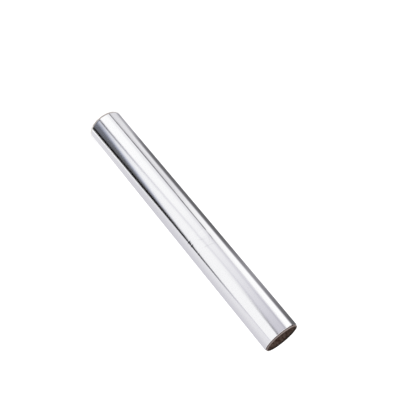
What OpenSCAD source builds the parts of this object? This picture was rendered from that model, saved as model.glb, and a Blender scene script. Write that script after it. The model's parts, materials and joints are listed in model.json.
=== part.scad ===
// Roll of aluminium foil wound on a card tube, standing on the tube's lower end.
// The origin is the centre of that end and +Z runs up the roll's axis.

/* [Card tube] */
// Bore of the tube
tube_bore = 34.5; // [25:0.5:60]
// Wall of the tube
tube_wall = 1.2; // [0.8:0.1:3]
// Length of bare tube past the foil at each end
tube_overhang = 1.5; // [0.5:0.1:6]

/* [Foil] */
// Width of the foil, which is the length of the winding
foil_width = 300; // [200:1:450]
// Depth of foil on the tube, from the first turn to the last
foil_depth = 1.1; // [0.8:0.1:12]
// Turns that can be told apart at the ends of the winding
turn_count = 6; // [4:1:12]
// Height of each turn's edge above the hollow beside it
turn_rise = 0.15; // [0.05:0.01:0.4]
// Clearance between the tube and the first turn
first_turn_gap = 0.02; // [0.01:0.01:0.05]
// Direction of the foil's free edge, counter-clockwise from +X
free_edge_angle = 237; // [0:1:359]

/* [Creases] */
// Height of the lower crease above the winding's lower end
crease_height = 172; // [20:1:180]
// Distance from the lower crease to the upper one
crease_spacing = 5; // [2:0.5:12]
// Width of a crease
crease_width = 0.8; // [0.4:0.1:1.6]
// Depth of a crease
crease_depth = 0.1; // [0.05:0.01:0.2]

/* [Hidden] */
$fn = 180;
tube_radius = tube_bore / 2 + tube_wall;
tube_length = foil_width + 2 * tube_overhang;
first_turn_radius = tube_radius + first_turn_gap;
// Each turn climbs by this much, so the free edge stands this far off the turn below it.
// Half of it is a whole number of microns, so that the two half turns meet exactly.
micron = 0.001;
turn_pitch = 2 * micron * round(foil_depth / turn_count / (2 * micron));
last_turn_radius = tube_radius + turn_count * turn_pitch;
creases = [crease_height, crease_height + crease_spacing];
// A cutting tool runs past the faces that it cuts by this much
past = 1;

// Points of one end's turn edges from the outside inwards: hollows on the face, peaks turn_rise above it
function turn_edges(outer, face, up) = [
    for (i = [0 : turn_count], peak = [0, 1])
        [outer - (i + peak / 2) * turn_pitch, face + up * peak * turn_rise]
];

// Points of the wall from the bottom up, dipping to crease_depth at the middle of each crease
function creased_wall(outer) = [
    for (z = creases, side = [-1, 0, 1])
        [outer - (side == 0 ? crease_depth : 0), z + side * crease_width / 2]
];

function reversed(points) = [for (i = [len(points) - 1 : -1 : 0]) points[i]];

// Half of the winding's length section: solid to the axis, turn edges at both ends, creases in the wall
module winding_section(outer) {
    bottom = turn_edges(outer, turn_rise, -1);
    top = turn_edges(outer, foil_width - turn_rise, 1);
    polygon(concat([[0, 0]], reversed(bottom), creased_wall(outer), top, [[0, foil_width]]));
}

// Two half turns of the section whose centres lie half a pitch apart. Together they are a spiral: every
// turn edge runs into the next one, and the last turn ends in a free edge one pitch above the turn below.
module spiral_winding() {
    rotate_extrude(angle = 180) winding_section(last_turn_radius - turn_pitch);
    translate([turn_pitch / 2, 0, 0])
        rotate([0, 0, 180])
            rotate_extrude(angle = 180) winding_section(last_turn_radius - turn_pitch / 2);
}

// Card tube, square cut at both ends
module card_core() {
    color("tan")
        difference() {
            cylinder(r = tube_radius, h = tube_length);
            translate([0, 0, -past]) cylinder(d = tube_bore, h = tube_length + 2 * past);
        }
}

// Foil wound on the tube, all its turns as one solid
module foil_winding() {
    color("silver")
        translate([0, 0, tube_overhang])
            difference() {
                rotate([0, 0, free_edge_angle]) spiral_winding();
                translate([0, 0, -past]) cylinder(r = first_turn_radius, h = foil_width + 2 * past);
            }
}

card_core();
foil_winding();
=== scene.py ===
"""Roll of aluminium foil on its card tube: the looks of every surface, the studio and the camera."""

import json
import math

import bpy
import numpy as np
from mathutils import Matrix, Vector


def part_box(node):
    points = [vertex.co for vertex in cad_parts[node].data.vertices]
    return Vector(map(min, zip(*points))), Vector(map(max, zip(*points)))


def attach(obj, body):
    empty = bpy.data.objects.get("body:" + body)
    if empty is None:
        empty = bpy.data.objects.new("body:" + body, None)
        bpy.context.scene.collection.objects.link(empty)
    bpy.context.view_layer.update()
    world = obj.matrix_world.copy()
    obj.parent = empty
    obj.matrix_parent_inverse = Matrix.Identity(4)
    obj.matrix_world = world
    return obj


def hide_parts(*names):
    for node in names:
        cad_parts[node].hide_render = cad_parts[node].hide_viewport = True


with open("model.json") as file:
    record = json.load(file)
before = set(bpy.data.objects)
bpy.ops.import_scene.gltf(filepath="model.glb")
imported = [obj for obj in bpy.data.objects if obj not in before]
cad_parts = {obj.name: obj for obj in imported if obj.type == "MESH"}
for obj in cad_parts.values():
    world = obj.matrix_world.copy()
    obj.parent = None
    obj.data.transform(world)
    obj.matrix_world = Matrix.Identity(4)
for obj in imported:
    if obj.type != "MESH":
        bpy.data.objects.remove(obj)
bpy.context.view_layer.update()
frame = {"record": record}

MM = 0.001

# Sizes that the frame gives, in metres
core_low, core_high = (np.array(c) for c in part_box("card_core"))
foil_low, foil_high = (np.array(c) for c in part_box("foil_winding"))
MOUNTS = {m["name"]: m for m in frame["record"]["mounts"]}
BORE_R = MOUNTS["bore"]["dims"]["r_mm"] * MM
CORE_R = (core_high[0] - core_low[0]) / 2
CORE_Z0, CORE_Z1 = core_low[2], core_high[2]
FOIL_Z0, FOIL_Z1 = foil_low[2], foil_high[2]
FOIL_W = FOIL_Z1 - FOIL_Z0

# Sizes of the foil that part.scad sets and the frame doesn't give
FREE_EDGE = math.radians(237)
TURN_PITCH = 0.184 * MM
TURNS = 6
TURN_RISE = 0.15 * MM
FIRST_TURN_GAP = 0.02 * MM
CREASES = (172 * MM, 177 * MM)
CREASE_W = 0.8 * MM
CREASE_DEPTH = 0.1 * MM
LAST_TURN_R = CORE_R + TURNS * TURN_PITCH
GIRTH = 2 * np.pi * LAST_TURN_R

# What only the looks have: the round at the winding's ends, how much tighter the foil is wound at
# its lower end, and the room kept inside the plain shape
END_ROUND = 0.42 * MM
LOW_END_DROP = 0.25 * MM
SLACK = 0.14 * MM

# Direction in which the creases are pinched the most
PINCH = FREE_EDGE + math.radians(67)

# The creases' heights over the foil's lower end and shares of their depth. The last is too faint
# for the plain shape.
DIPS = ((CREASES[0], 1.0), (CREASES[1], 1.0), (188 * MM, 0.5))

# Faint wrinkles past the creases, straight on the unrolled foil: the direction in degrees and the
# height over the foil's lower end in mm of one end, the same of the other, and how dark they are
WRINKLES = (
    (278, 177.5, 259, 181.5, 0.12),
    (277, 188, 243, 190.5, 0.12),
    (254, 187.5, 245, 181, 0.17),
)
WRINKLE_W = 0.55 * MM

# The tube: how far its corners are worn, the grooves between the plies of its cut faces, and the
# distances from its ends, in mm, at which its outside and its lining have rows of points
CORNER_WEAR = 0.12 * MM
PLIES = 3
PLY_GROOVE = 0.04 * MM
BARE_ROWS = np.array([0, 0.25, 0.5, 0.75, 1, 1.25, 1.6, 2, 2.5, 3]) * MM

# Steps of the meshes: up the foil, round it, over its turn edges, and up, across and round the tube
FOIL_UP, FOIL_ROUND, FOIL_ENDS = 180, 240, 41
CORE_UP, CORE_ACROSS, CORE_ROUND = 20, 18, 180

SHARP_FROM = math.radians(40)

# The camera of the photograph: where it stands, what its middle looks at, its roll and its lens
CAMERA_AT = Vector((0.0, -0.73253, 0.44117))
CAMERA_LOOKS_AT = Vector((-0.02561, 0.0, 0.14013))
CAMERA_ROLL = math.radians(-139.697)
CAMERA_LENS = 69.38


def linear(level):
    """Light that shows as the given level of 0 to 255: the standard display curve turned back."""
    c = np.asarray(level, float) / 255
    return np.where(c <= 0.04045, c / 12.92, ((c + 0.055) / 1.055) ** 2.4)


def ramp(x, low, high):
    """0 below low, 1 above high, and a smooth S between them: 3u^2 - 2u^3."""
    u = np.clip((x - low) / (high - low), 0, 1)
    return u * u * (3 - 2 * u)


def bell(x, middle, half_width):
    """1 at the middle, falling to 1/e at half_width on either side: exp(-(distance/half_width)^2)."""
    return np.exp(-(((x - middle) / half_width) ** 2))


# Meshes

def quads_between(index):
    """The quads between neighbouring rows and columns of a table of point numbers."""
    return np.stack([index[:-1, :-1], index[1:, :-1], index[1:, 1:], index[:-1, 1:]], -1)


def looped(rows, cols):
    """Point numbers of a grid, row by row, with each row's first point again at its end."""
    index = np.arange(rows * cols).reshape(rows, cols)
    return np.concatenate([index, index[:, :1]], 1)


def make_piece(name, points, quads, materials, caps=(), face_material=None, uv=None):
    """A mesh object at the origin from arrays, with caps as faces of more corners. uv gives each
    point's place on the unrolled surface."""
    mesh = bpy.data.meshes.new(name)
    mesh.from_pydata(points.reshape(-1, 3).tolist(), [], [*quads.reshape(-1, 4).tolist(), *caps])
    for material in materials:
        mesh.materials.append(material)
    if face_material is not None:
        mesh.polygons.foreach_set("material_index", np.asarray(face_material, np.int32))
    if uv is not None:
        layer = mesh.uv_layers.new(name="unrolled")
        corners = np.empty(len(mesh.loops), np.int32)
        mesh.loops.foreach_get("vertex_index", corners)
        layer.data.foreach_set("uv", np.asarray(uv, np.float32)[corners].ravel())
    mesh.shade_smooth()
    mesh.set_sharp_from_angle(angle=SHARP_FROM)
    mesh.update()
    piece = bpy.data.objects.new(name, mesh)
    bpy.context.scene.collection.objects.link(piece)
    return piece


def add_value(piece, name, values, grid):
    """Stores values, 0 to 1, on the first columns of the grid as the point value of that name, and
    0 on the rest of it."""
    whole = np.zeros(grid)
    whole[:, :values.shape[-1]] = values
    layer = piece.data.attributes.new(name, "FLOAT", "POINT")
    layer.data.foreach_set("value", whole.astype(np.float32).ravel())


def ripple(around, height):
    """Unevenness of the outer turn, in metres: a sum of sine waves whose crests run at set slants,
    a whole number of them round the roll, so that the surface closes on itself."""
    waves = (  # crests round the roll, crests per metre along it, height in microns, start
        (2, 5.0, 30, 0.4), (3, 9.0, 14, 2.1), (5, -12.0, 7, 4.0), (7, 21.0, 4, 1.3),
        (11, -31.0, 2.2, 5.2), (4, 47.0, 2.6, 0.9), (17, 16.0, 1.0, 3.3), (1, 83.0, 1.6, 2.7),
    )
    total = np.zeros(np.broadcast(around, height).shape)
    for crests, per_metre, microns, start in waves:
        phase = crests * around + 2 * np.pi * per_metre * height + start
        total = total + microns * 1e-6 * np.sin(phase)
    return total


def crease_dip(around, height):
    """How far the creases sink the wall: each a bell over the height, deep at the pinch, less deep
    just past the free edge and almost nothing elsewhere."""
    past_edge = FREE_EDGE + math.radians(12)
    deep = bell(around, PINCH, 0.16) + 0.3 * bell(around, past_edge, 0.2)
    dips = sum(share * bell(height, FOIL_Z0 + z, CREASE_W) for z, share in DIPS)
    return CREASE_DEPTH * dips * (0.03 + 0.3 * deep)


def crease_shade(around, height):
    """Shade of the creases, 0 to 1: a short dark mark just above each, where it is pinched most."""
    marks = sum(bell(height, FOIL_Z0 + z + 0.5 * MM, 0.6 * MM) for z in CREASES)
    return 0.5 * marks * bell(around, PINCH, 0.07)


def wrinkle_shade(around, height):
    """Shade of the faint wrinkles, 0 to 1: straight lines, bells across, that fade at both ends."""
    total = 0
    for turn_0, height_0, turn_1, height_1, dark in WRINKLES:
        share = (np.degrees(around) - turn_0) / (turn_1 - turn_0)
        line_at = FOIL_Z0 + (height_0 + (height_1 - height_0) * share) * MM
        ends = ramp(share, -0.1, 0.2) * (1 - ramp(share, 0.8, 1.1))
        total = total + dark * bell(height, line_at, WRINKLE_W) * ends
    return total


def free_edge_shade(share, height):
    """Shade at the free edge, 0 to 1, against the share of the turn from it: a line along the edge,
    uneven in strength, that widens onto the turn below it on the way up and ends between the
    creases. Past its end the turn below keeps a soft grey for a while, with a darker hook in it."""
    before, past = (1 - share) * GIRTH, share * GIRTH
    end = FOIL_Z0 + CREASES[0] + 2.5 * MM
    uneven = 0.75 + 0.25 * np.sin(610 * height) * np.sin(230 * height + 1)
    shift = 0.3 * MM * ramp(height, end - 50 * MM, end - 25 * MM)
    on_last = 1 - ramp(before + shift, 0.35 * MM, 0.75 * MM)
    grown = 0.7 * ramp(height, end - 55 * MM, end - 40 * MM)
    grown = grown + 0.3 * ramp(height, end - 14 * MM, end - 4 * MM)
    on_below = (1 - ramp(past, 0.3 * MM + shift / 3, 0.7 * MM + shift / 3)) * grown
    over = ramp(height, end - 1.5 * MM, end)
    line = np.maximum(on_last * uneven, on_below) * (1 - over)

    soft = 0.17 * (1 - ramp(past, 0.6 * MM, 1.8 * MM)) * over
    soft = soft * (1 - ramp(height, end + 2 * MM, end + 40 * MM))
    hook_at = 0.35 * MM + 0.7 * MM * ramp(height, end + 7 * MM, end + 13 * MM)
    hook = 0.7 * bell(past, hook_at, 0.5 * MM) * bell(height, end + 7.5 * MM, 5 * MM)
    return line + np.maximum(soft, hook)


def heights_along_foil():
    """Heights of the wall's rows, bottom to top, with close rows at the creases, the wrinkles and
    the worn ends."""
    even = np.linspace(FOIL_Z0 + 1.5 * MM, FOIL_Z1 - 1.5 * MM, FOIL_UP)
    near = [FOIL_Z0 + z + np.linspace(-2, 2, 17) * CREASE_W for z in CREASES]
    near.append(FOIL_Z0 + np.linspace(179, 192, 27) * MM)
    worn = TURN_RISE / 2 + END_ROUND * (1 - np.cos(np.linspace(0, np.pi / 2, 6)))
    return np.unique(np.round(np.concatenate([even, *near, FOIL_Z0 + worn, FOIL_Z1 - worn]), 6))


def turns_round():
    """Share of one turn at each row of points, from the free edge (0) round to it again (1),
    closer near it."""
    even = np.linspace(0, 1, FOIL_ROUND + 1)
    near = np.geomspace(0.0004, 0.02, 10)
    return np.unique(np.concatenate([even, near, 1 - near]))


def foil_wall_radius(share, height):
    """Radius of the outer wall: it climbs one pitch in one turn, less above the creases, where the
    last turn is pressed flat, and is smaller towards the lower end. The ripple is added, the
    creases are taken off, and the ends round over like a quarter circle."""
    flat_from, flat_to = FOIL_Z0 + CREASES[0] - 2 * MM, FOIL_Z0 + CREASES[1] + 3 * MM
    pressed = 1 - 0.85 * ramp(height, flat_from, flat_to)
    climb = TURN_PITCH * (share - 0.5) * pressed
    angle = FREE_EDGE + 2 * np.pi * share
    off_edge = 1 - bell(share, 0, 0.01) - bell(share, 1, 0.01)
    to_end = np.minimum(height - FOIL_Z0, FOIL_Z1 - height) - TURN_RISE / 2
    u = np.clip(1 - to_end / END_ROUND, 0, 1)
    worn = END_ROUND * (1 - np.sqrt(1 - u * u))
    tighter = LOW_END_DROP * (1 - ramp(height, FOIL_Z0, FOIL_Z0 + FOIL_W / 2))
    mean = LAST_TURN_R - TURN_PITCH / 2 - SLACK - tighter
    uneven = ripple(angle, height) * 0.5 * off_edge
    return mean + climb + uneven - crease_dip(angle, height) - worn


def turn_edges(turn):
    """Height of the turns' edges against how many turns out a place is: one ridge a turn,
    sin^2 of the share of a turn, each as tall as a slow wave through the turns says."""
    tall = 0.6 + 0.4 * np.sin(2.4 * turn + 0.7) * np.sin(0.9 * turn)
    return TURN_RISE * tall * np.sin(np.pi * turn) ** 2


def foil_sections(share, z):
    """Radius and height of the winding's points, one row for each share of the turn: up the outer
    wall, in over the upper turn edges, down the first turn and out over the lower turn edges.
    along is each column's place on a straight line up the wall and on over both ends."""
    first_r = CORE_R + FIRST_TURN_GAP
    first_z = np.array([FOIL_Z1 - TURN_RISE, FOIL_Z0 + TURN_RISE])
    across = np.linspace(0, 1, FOIL_ENDS + 1)[1:-1]
    wall = foil_wall_radius(share, z)
    top_r = wall[:, -1:] + (first_r - wall[:, -1:]) * across
    low_r = first_r + (wall[:, :1] - first_r) * across
    radius = np.concatenate([wall, top_r, np.full((len(share), 2), first_r), low_r], 1)
    height = np.concatenate([
        np.broadcast_to(z, wall.shape),
        FOIL_Z1 - TURN_RISE + turn_edges((top_r - CORE_R) / TURN_PITCH - share),
        np.broadcast_to(first_z, (len(share), 2)),
        FOIL_Z0 + TURN_RISE - turn_edges((low_r - CORE_R) / TURN_PITCH - share),
    ], 1)
    over_top, under_low = FOIL_Z1 + LAST_TURN_R - top_r[0], FOIL_Z0 - LAST_TURN_R + low_r[0]
    return radius, height, np.concatenate([z, over_top, first_z, under_low])


def foil_piece(side, edge):
    """The winding: its length section, a closed loop of points, carried once round the roll while
    it climbs one pitch, with a flat cap at each end of the carry, so that the last turn ends in a
    free edge."""
    share = turns_round()[:, None]
    z = heights_along_foil()
    radius, height, along = foil_sections(share, z)
    angle = FREE_EDGE + 2 * np.pi * share
    points = np.stack([radius * np.cos(angle), radius * np.sin(angle), height], -1)
    rows, cols = radius.shape
    quads = quads_between(looped(rows, cols))
    last = rows * cols
    caps = [list(range(cols)), list(range(last - 1, last - cols - 1, -1))]
    at_ends = np.ones(quads.shape[:2], int)
    at_ends[:, :len(z) - 1] = 0
    uv = np.stack(np.broadcast_arrays(share, along / GIRTH), -1).reshape(-1, 2)
    piece = make_piece("foil", points, quads, [side, edge], caps,
                       np.append(at_ends.ravel(), [0, 0]), uv)
    shades = free_edge_shade(share, z), crease_shade(angle, z), wrinkle_shade(angle, z)
    add_value(piece, "shade", np.maximum.reduce(shades), (rows, cols))
    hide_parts("foil_winding")
    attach(piece, "root")
    return piece


def core_shade(angle, z):
    """Painted shade of the tube's outside, its upper cut face and its lining, 0 to 1: dark by the
    foil, a little darker on one side, darker on one side of the cut, and dark at the mouths."""
    by_foil = (1 - ramp(z, FOIL_Z1, CORE_Z1 - 0.3 * MM)) * ramp(z, 0.1, 0.2)
    # painted shade: the outside is a little darker on one side
    shaded_side = 0.22 * ramp(np.cos(angle), -0.3, 0.4) * ramp(z, 0.2, 0.3)
    cut = np.repeat(0.6 * ramp(np.sin(angle), 0.3, 0.7), CORE_ACROSS - 1, 1)
    mouth = 0.85 * (1 - ramp(np.minimum(z - CORE_Z0, CORE_Z1 - z), 0.6 * MM, 2.6 * MM))[::-1]
    outside = np.maximum(by_foil, shaded_side)
    return np.concatenate([outside, cut, np.broadcast_to(mouth, outside.shape)], 1)


def core_piece(outside, cut, lining):
    """The card tube: its wall's section, a closed loop with slightly worn corners, turned once
    round the axis. The cut faces have a fine groove between plies, and painted light makes
    the outside paler at the lower end."""
    across = np.linspace(0, 1, CORE_ACROSS + 1)[1:-1]
    wall = CORE_R - BORE_R
    groove = PLY_GROOVE * (np.cos(2 * np.pi * PLIES * across) + 1) / 2
    z = np.concatenate([
        CORE_Z0 + CORNER_WEAR + BARE_ROWS,
        np.linspace(CORE_Z0 + 10 * MM, CORE_Z1 - 10 * MM, CORE_UP),
        CORE_Z1 - CORNER_WEAR - BARE_ROWS[::-1],
    ])
    radius = np.concatenate([np.full(len(z), CORE_R), CORE_R - wall * across,
                             np.full(len(z), BORE_R), BORE_R + wall * across])
    height = np.concatenate([z, CORE_Z1 - groove, z[::-1], CORE_Z0 + groove])
    angle = np.linspace(0, 2 * np.pi, CORE_ROUND + 1)[:-1, None]
    round_axis = radius * np.cos(angle), radius * np.sin(angle), height
    points = np.stack(np.broadcast_arrays(*round_axis), -1)
    rows, cols = points.shape[:2]
    index = looped(rows, cols)
    quads = quads_between(np.concatenate([index, index[:1]], 0))
    inside = len(z) + len(across)
    place = np.ones(quads.shape[:2], int)
    place[:, :len(z) - 1] = 0
    place[:, inside:inside + len(z) - 1] = 2
    piece = make_piece("core", points, quads, [outside, cut, lining], face_material=place.ravel())
    add_value(piece, "shade", core_shade(angle, z), (rows, cols))
    # painted light: the outside is paler at its lower end, most on one side
    painted_light = 0.34 + 0.66 * ramp(np.cos(angle), 0.55, 0.8)
    add_value(piece, "pale", painted_light * (1 - ramp(z, 0.02, 0.1)), (rows, cols))
    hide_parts("card_core")
    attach(piece, "root")
    return piece


# Materials

class Nodes:
    """Short ways to add and join shader nodes."""

    def __init__(self, tree):
        self.tree = tree
        tree.nodes.clear()

    def add(self, kind, inputs=(), **settings):
        """A node of that kind with its settings, and inputs by name or number: a value, or a
        socket to link."""
        node = self.tree.nodes.new(kind)
        for key, value in settings.items():
            setattr(node, key, value)
        for key, value in dict(inputs).items():
            if isinstance(value, bpy.types.NodeSocket):
                self.tree.links.new(value, node.inputs[key])
            else:
                node.inputs[key].default_value = value
        return node

    def out(self, kind, inputs=(), socket=0, **settings):
        """The output socket of a new node."""
        return self.add(kind, inputs, **settings).outputs[socket]

    def stretched_noise(self, place, scale, **inputs):
        """Noise over the place, finer along the axes with the larger scale."""
        at = self.out("ShaderNodeMapping", {"Vector": place, "Scale": scale})
        return self.out("ShaderNodeTexNoise", {"Vector": at, "Scale": 1.0, **inputs})

    def two_tone(self, value, low, high, dark, light):
        """Colour that runs from dark at the low value to light at the high one."""
        node = self.add("ShaderNodeValToRGB", {"Fac": value})
        first, last = node.color_ramp.elements
        first.position, last.position = low, high
        first.color, last.color = (*dark, 1), (*light, 1)
        return node.outputs["Color"]

    def stored(self, name):
        """The point value of that name, which add_value stores."""
        return self.out("ShaderNodeAttribute", socket="Fac", attribute_name=name)

    def mix_colours(self, share, a, b):
        """The colour a where share is 0 and b where it is 1."""
        inputs = {0: share, 6: a, 7: (*b, 1)}
        return self.out("ShaderNodeMix", inputs, socket=2, data_type="RGBA")


def new_material(name):
    """A material with an empty node tree, and the short ways to fill it."""
    material = bpy.data.materials.new(name)
    material.use_nodes = True
    return material, Nodes(material.node_tree)


def foil_side():
    """Bright rolled foil: metal that blurs more along the roll than round it, with faint lines
    round it, dark where it is shaded."""
    material, n = new_material("foil_side")
    place = n.out("ShaderNodeTexCoord", socket="UV")
    lines = n.stretched_noise(place, (3, 420, 1), Detail=3.0, Roughness=0.6)
    colour = n.two_tone(lines, 0.3, 0.7, (0.905, 0.907, 0.918), (0.945, 0.946, 0.953))
    shader = n.out("ShaderNodeBsdfPrincipled", {
        "Base Color": n.mix_colours(n.stored("shade"), colour, (0.12, 0.12, 0.12)),
        "Metallic": 1.0,
        "Roughness": n.out("ShaderNodeMapRange", {
            "Value": lines, "From Min": 0.3, "From Max": 0.7, "To Min": 0.09, "To Max": 0.12}),
        "Anisotropic": 0.7,
        "Anisotropic Rotation": 0.25,
        "Normal": n.out("ShaderNodeBump", {
            "Height": lines, "Strength": 0.12, "Distance": 0.00002}),
        "Tangent": n.out("ShaderNodeTangent", direction_type="RADIAL", axis="Z"),
    })
    n.add("ShaderNodeOutputMaterial", {"Surface": shader})
    return material


def foil_edge():
    """Cut edges of the turns: the same metal, duller, with fine rings."""
    material, n = new_material("foil_edge")
    place = n.out("ShaderNodeTexCoord", socket="UV")
    rings = n.stretched_noise(place, (2, 2400, 1), Detail=2.0)
    shader = n.out("ShaderNodeBsdfPrincipled", {
        "Base Color": n.two_tone(rings, 0.35, 0.65, (0.70, 0.69, 0.70), (0.95, 0.94, 0.94)),
        "Metallic": 1.0,
        "Roughness": 0.42,
        "Normal": n.out("ShaderNodeBump", {
            "Height": rings, "Strength": 0.3, "Distance": 0.00003}),
    })
    n.add("ShaderNodeOutputMaterial", {"Surface": shader})
    return material


def card(name, dark, light, cloud_size, shaded_to, painted_light_to):
    """Wound card: fibres as stretched noise over softer clouds, dark where it is shaded and paler
    where painted light lifts it, with a matt, slightly furry bump."""
    material, n = new_material(name)
    place = n.out("ShaderNodeTexCoord", socket="Object")
    fibres = n.stretched_noise(place, (900, 900, 260), Detail=4.0, Roughness=0.65)
    cloud = n.out("ShaderNodeTexNoise", {"Vector": place, "Scale": 1 / cloud_size, "Detail": 2.0})
    mixed = n.out("ShaderNodeMix", {0: 0.65, 2: fibres, 3: cloud})
    colour = n.two_tone(mixed, 0.38, 0.62, dark, light)
    # painted light: mixed towards the paler tone by the stored pale value
    painted_light = n.mix_colours(n.stored("pale"), colour, painted_light_to)
    shader = n.out("ShaderNodeBsdfPrincipled", {
        "Base Color": n.mix_colours(n.stored("shade"), painted_light, shaded_to),
        "Roughness": 0.9,
        "Specular IOR Level": 0.2,
        "Normal": n.out("ShaderNodeBump", {
            "Height": fibres, "Strength": 0.35, "Distance": 0.00006}),
    })
    n.add("ShaderNodeOutputMaterial", {"Surface": shader})
    return material


# The card's three surfaces: dark and light tone, size of its clouds, and its tone where it is
# shaded and where painted light makes it paler
CARDS = (
    ("card_outside", (0.25, 0.195, 0.185), (0.38, 0.305, 0.29), 11 * MM,
     (0.06, 0.045, 0.042), (0.76, 0.74, 0.70)),
    # the cut faces are the same card as the outside; their darker tones are painted shade
    ("card_cut", (0.13, 0.10, 0.088), (0.205, 0.163, 0.147), 5 * MM,
     (0.05, 0.037, 0.033), (0.205, 0.163, 0.147)),
    ("card_lining", (0.065, 0.030, 0.021), (0.20, 0.137, 0.111), 3 * MM,
     (0.02, 0.013, 0.010), (0.20, 0.137, 0.111)),
)


# Studio

# Share of the light that the foil throws back, and the distance of the lining from the roll
FOIL_SHINE = 0.93
LINING_REACH = 10.0

# The lining's flags and cards. Each row runs straight between its corners: a share of the winding's
# length and the value there. Places run across the roll as the camera sees them, from -1 at one rim
# to 1 at the other. Levels are display levels of 0 to 255. The values were fitted to the bands that
# the photograph shows on the foil, by least squares, then rounded and partly changed.
WHITE = 246
# Dark flag: its sharp edge, its darkest band there, its grey, and where that fades into white
FLAG = {
    "edge": ((0, -0.745), (0.1, -0.695), (0.5, -0.6), (0.8, -0.575), (1, -0.52)),
    "band": ((0.65, 10), (0.8, 220)),
    "band_width": ((0, 0.1), (1, 0.02)),
    "grey": ((0, 110), (0.35, 65), (0.65, 95), (1, 220)),
    "fade_from": ((0, -0.325), (0.2, -0.425), (0.35, -0.555), (0.5, -0.485), (0.65, -0.545),
                  (1, -0.485)),
    "fade_to": ((0, 0.045), (0.1, -0.22), (0.65, -0.52), (1, -0.47)),
}
# Joint between two sheets, and the sheet beyond it, which greys towards the roll's upper end
SEAM = {
    "place": ((0, -0.095), (0.8, 0.12), (1, -0.035)),
    "dip": ((0.1, 150), (0.2, 40), (0.8, 15), (1, 125)),
    "sheet": ((0, 254), (0.5, 248), (0.8, 228), (1, 194)),
}
# How much darker the sheet is where the pale card begins
SHEET_RIM_DIP = 14
# Pale card past the foil's free edge, the dark line at that edge, and the dark card at the rim
SIDE = {
    "pale_from": ((0, 0.48), (0.65, 0.45), (1, 0.46)),
    "pale": ((0, 215), (0.2, 235), (0.35, 216), (0.5, 244), (0.65, 252), (1, 255)),
    "line": ((0, 0.555), (0.2, 0.58), (0.65, 0.5), (1, 0.52)),
    "line_dip": ((0, 0), (0.2, 105), (0.5, 15), (0.65, 50), (1, 0)),
    "rim": ((0, 0.9), (0.1, 0.875), (0.17, 0.81), (1, 0.79)),
    "rim_level": ((0, 140), (0.12, 175), (0.17, 105), (0.65, 100), (0.8, 155), (1, 95)),
}
# Pale ground outside the flag's sharp edge: a glint beside the edge, near it and at the rim
GROUND = {
    "glint": ((0, 60), (0.5, 5)),
    "near": ((0.5, 218), (0.65, 225)),
    "rim": ((0, 225), (0.35, 203)),
}


def lining_level(side, up):
    """Display level of the lining. Each flag or card is a straight or bell-shaped change across the
    roll, and its places and levels run straight between their corners along it."""
    def slope(low, high):
        return np.clip((side - low) / (high - low), 0, 1)

    def along(plan, name):
        return np.interp(up, *zip(*plan[name]))

    def towards(level, target, share):
        return level + (target - level) * share

    seam = along(SEAM, "place")
    level = towards(WHITE, along(SEAM, "sheet"), slope(seam - 0.03, seam + 0.03))
    level = level - SHEET_RIM_DIP * bell(side, 0.45, 0.06)

    edge = along(FLAG, "edge")
    band_end = edge + along(FLAG, "band_width")
    flag = towards(along(FLAG, "band"), along(FLAG, "grey"), slope(band_end, band_end + 0.06))
    flag = towards(flag, WHITE, slope(along(FLAG, "fade_from"), along(FLAG, "fade_to")))
    level = towards(level, np.minimum(flag, level), 1 - slope(seam - 0.01, seam + 0.01))
    level = level - along(SEAM, "dip") * bell(side, seam, 0.04)

    ground = towards(along(GROUND, "rim"), along(GROUND, "near"), slope(-0.95, -0.68))
    ground = ground + along(GROUND, "glint") * bell(side, edge - 0.03, 0.025)
    level = towards(ground, level, slope(edge - 0.005, edge + 0.005))

    pale_from, line_at = along(SIDE, "pale_from"), along(SIDE, "line")
    level = towards(level, along(SIDE, "pale"), slope(pale_from, pale_from + 0.06))
    beside = slope(line_at - 0.01, line_at + 0.01) * (1 - slope(line_at, line_at + 0.13))
    level = level - along(SIDE, "line_dip") * (bell(side, line_at, 0.033) + 0.3 * beside)

    rim = along(SIDE, "rim")
    dark = slope(rim - 0.03, rim + 0.05) * (1 - slope(0.98, 1))
    return towards(level, along(SIDE, "rim_level"), dark)


def lining_light(side, up):
    """Linear colour of the lining. Its greys are a little violet, and blue in the lower end of the
    flag's fade. High above the winding it is white, apart from the dark card's side."""
    level = lining_level(side, up)
    level = level + (255 - level) * ramp(up, 2.0, 2.6) * (1 - ramp(side, 0.7, 0.8))
    grey = np.clip((250 - level) / 50, 0, 1) * ramp(level, 80, 130)
    in_flag = ramp(side, -0.7, -0.5) * (1 - ramp(side, -0.2, -0.05)) * (1 - ramp(up, 0.3, 0.5))
    past_line, on_ground = ramp(side, 0.48, 0.55), 1 - ramp(side, -0.7, -0.55)
    blue = grey * (9 + 9 * in_flag - 4 * past_line - 2 * on_ground)
    red = grey * (1.5 - 6 * in_flag)
    return linear(np.clip(np.stack([level + red, level, level + blue], -1), 0, 400))


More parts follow.
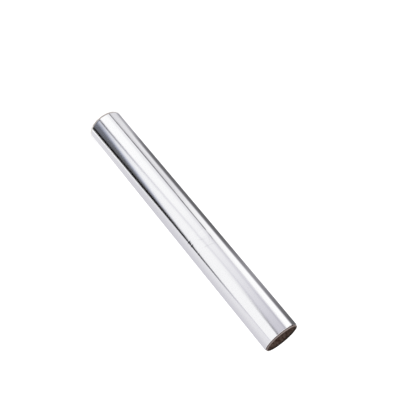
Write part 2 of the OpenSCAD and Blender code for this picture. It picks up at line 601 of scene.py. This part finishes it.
def studio_lining():
    """A wide drum round the roll that only mirrors see. Each place's angle and height give where on
    the roll the camera sees it mirrored. side is the sine of half the angle. up is where the line
    from the drum to the mirrored camera passes the wall, a share of the winding's length."""
    across = np.linspace(-180, 180, 1441)
    drops = np.concatenate([np.linspace(-1.2, 3.0, 240), np.geomspace(3.1, 12, 20)])
    angle, drop = np.meshgrid(np.radians(across), drops)
    height = FOIL_W / 2 - drop * LINING_REACH
    # straight-line mirror path from the camera to the wall and on to the drum
    away, above = -CAMERA_AT.y - LAST_TURN_R, CAMERA_AT.z
    seen = (height + LINING_REACH * above / away) / (1 + LINING_REACH / away)
    side = np.sin(angle / 2)
    colour = lining_light(side, (seen - FOIL_Z0) / FOIL_W) / FOIL_SHINE
    points = np.stack([-LINING_REACH * np.sin(angle), -LINING_REACH * np.cos(angle), height], -1)
    # turned over, so that the faces point away from the roll
    quads = quads_between(np.arange(angle.size).reshape(angle.shape).T)

    material, n = new_material("lining")
    tint = n.out("ShaderNodeAttribute", socket="Color", attribute_name="light")
    n.add("ShaderNodeOutputMaterial", {"Surface": n.out("ShaderNodeEmission", {"Color": tint})})
    lining = make_piece("lining", points, quads, [material])
    layer = lining.data.color_attributes.new("light", "FLOAT_COLOR", "POINT")
    rgba = np.concatenate([colour, np.ones((*angle.shape, 1))], -1)
    layer.data.foreach_set("color", rgba.astype(np.float32).ravel())
    lining.visible_camera = lining.visible_diffuse = lining.visible_shadow = False
    lining.visible_transmission = lining.visible_volume_scatter = False


def floor():
    """Plain white floor that takes the roll's shadow and glows a little, like a light table.
    Mirrors see the lining instead."""
    material, n = new_material("floor")
    matt = n.out("ShaderNodeBsdfDiffuse", {"Color": (0.97, 0.97, 0.97, 1)})
    glow = n.out("ShaderNodeEmission", {"Color": (1, 1, 1, 1), "Strength": 0.22})
    shader = n.out("ShaderNodeAddShader", {0: matt, 1: glow})
    n.add("ShaderNodeOutputMaterial", {"Surface": shader})
    half = 30.0
    points = np.array([[-half, -half, 0], [half, -half, 0], [half, half, 0], [-half, half, 0]])
    piece = make_piece("floor", points, np.arange(4), [material])
    piece.visible_glossy = False


def world_light():
    """White sky: its light on matt things is a plain level, and the camera and mirrors see it as
    white."""
    world = bpy.data.worlds.new("studio")
    bpy.context.scene.world = world
    world.use_nodes = True
    n = Nodes(world.node_tree)
    path = n.add("ShaderNodeLightPath").outputs
    seen = path["Is Camera Ray"]
    for ray in ("Is Glossy Ray", "Is Transmission Ray"):
        seen = n.out("ShaderNodeMath", {0: seen, 1: path[ray]}, operation="MAXIMUM")
    level = n.out("ShaderNodeMapRange", {"Value": seen, "To Min": 0.8, "To Max": 1.0})
    sky = n.out("ShaderNodeBackground", {"Color": (1, 1, 1, 1), "Strength": level})
    n.add("ShaderNodeOutputWorld", {"Surface": sky})


def top_light():
    """A wide soft lamp high over the roll, which gives the card and the floor their form."""
    lamp = bpy.data.lights.new("top", "SUN")
    lamp.energy = 0.8
    lamp.angle = math.radians(50)
    light = bpy.data.objects.new("top", lamp)
    light.rotation_euler = (math.radians(18), math.radians(-12), 0)
    light.visible_glossy = False
    bpy.context.scene.collection.objects.link(light)


def camera():
    """The photograph's camera: it looks at its point with its up turned round the line of sight."""
    data = bpy.data.cameras.new("camera")
    data.lens = CAMERA_LENS
    data.sensor_width = 36.0
    data.clip_start, data.clip_end = 0.01, 100.0
    forward = (CAMERA_LOOKS_AT - CAMERA_AT).normalized()
    level_right = forward.cross(Vector((0, 0, 1))).normalized()
    level_up = level_right.cross(forward)
    up = math.cos(CAMERA_ROLL) * level_up + math.sin(CAMERA_ROLL) * level_right
    right = forward.cross(up)
    turn = Matrix((right, up, -forward)).transposed().to_4x4()
    cam = bpy.data.objects.new("camera", data)
    cam.matrix_world = Matrix.Translation(CAMERA_AT) @ turn
    bpy.context.scene.collection.objects.link(cam)
    bpy.context.scene.camera = cam


foil_piece(foil_side(), foil_edge())
core_piece(*(card(*looks) for looks in CARDS))
studio_lining()
floor()
world_light()
top_light()
camera()
bpy.context.scene.view_settings.view_transform = "Standard"
